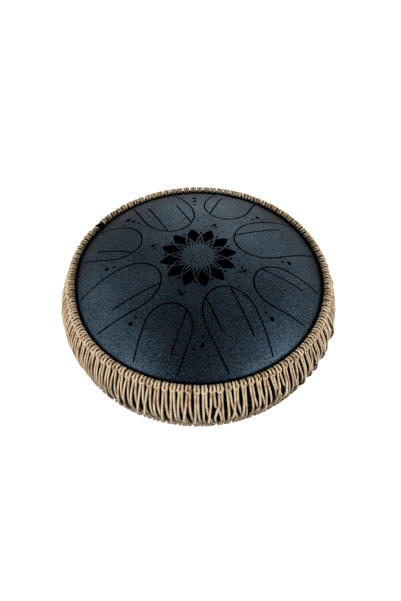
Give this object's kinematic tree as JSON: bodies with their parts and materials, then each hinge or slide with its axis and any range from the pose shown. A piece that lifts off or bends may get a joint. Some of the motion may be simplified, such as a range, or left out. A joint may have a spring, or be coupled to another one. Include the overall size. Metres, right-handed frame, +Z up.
{
  "type": "steel tongue drum",
  "caption": "Steel tongue drum: a dark pressed steel lens with slit tongues and a pierced petal rosette, a knotted tan cord net over its seam, and rubber feet.",
  "frame": {"origin": "centre of the base, on the plane that the four rubber feet stand on", "axes": "+Z up along the drum's axis; the picture looks along +Y from -Y and above, with +X to its right; two of the hole marks lie on the X axis and the feet stand at 45 degrees between the axes"},
  "size_m": [0.3676, 0.3675, 0.1829],
  "materials": {
    "shell_paint": "fine wrinkle paint, satin",
    "weld_paint": "painted over, satin",
    "magnet_nickel": "nickel plated, bright",
    "rubber": "matt",
    "zinc": "zinc plated",
    "cord": "twisted tan cord",
    "tie_cord": "black waxed thread"
  },
  "bodies": {
    "root": {"upper_shell": "shell_paint", "lower_shell": "shell_paint", "seam_weld": "weld_paint", "magnet_1": "magnet_nickel", "magnet_2": "magnet_nickel", "magnet_3": "magnet_nickel", "magnet_4": "magnet_nickel", "magnet_5": "magnet_nickel", "magnet_6": "magnet_nickel", "magnet_7": "magnet_nickel", "magnet_8": "magnet_nickel", "foot_1": "rubber", "foot_2": "rubber", "foot_3": "rubber", "foot_4": "rubber", "foot_screws": "zinc", "foot_washers": "zinc", "foot_nuts": "zinc", "top_ring_cord": "cord", "top_knots": "cord", "net_strands": "cord", "bottom_ring_cord": "cord", "bottom_hitches": "cord", "ring_end_wrap": "cord", "ring_tie": "tie_cord"}
  },
  "joints": []
}
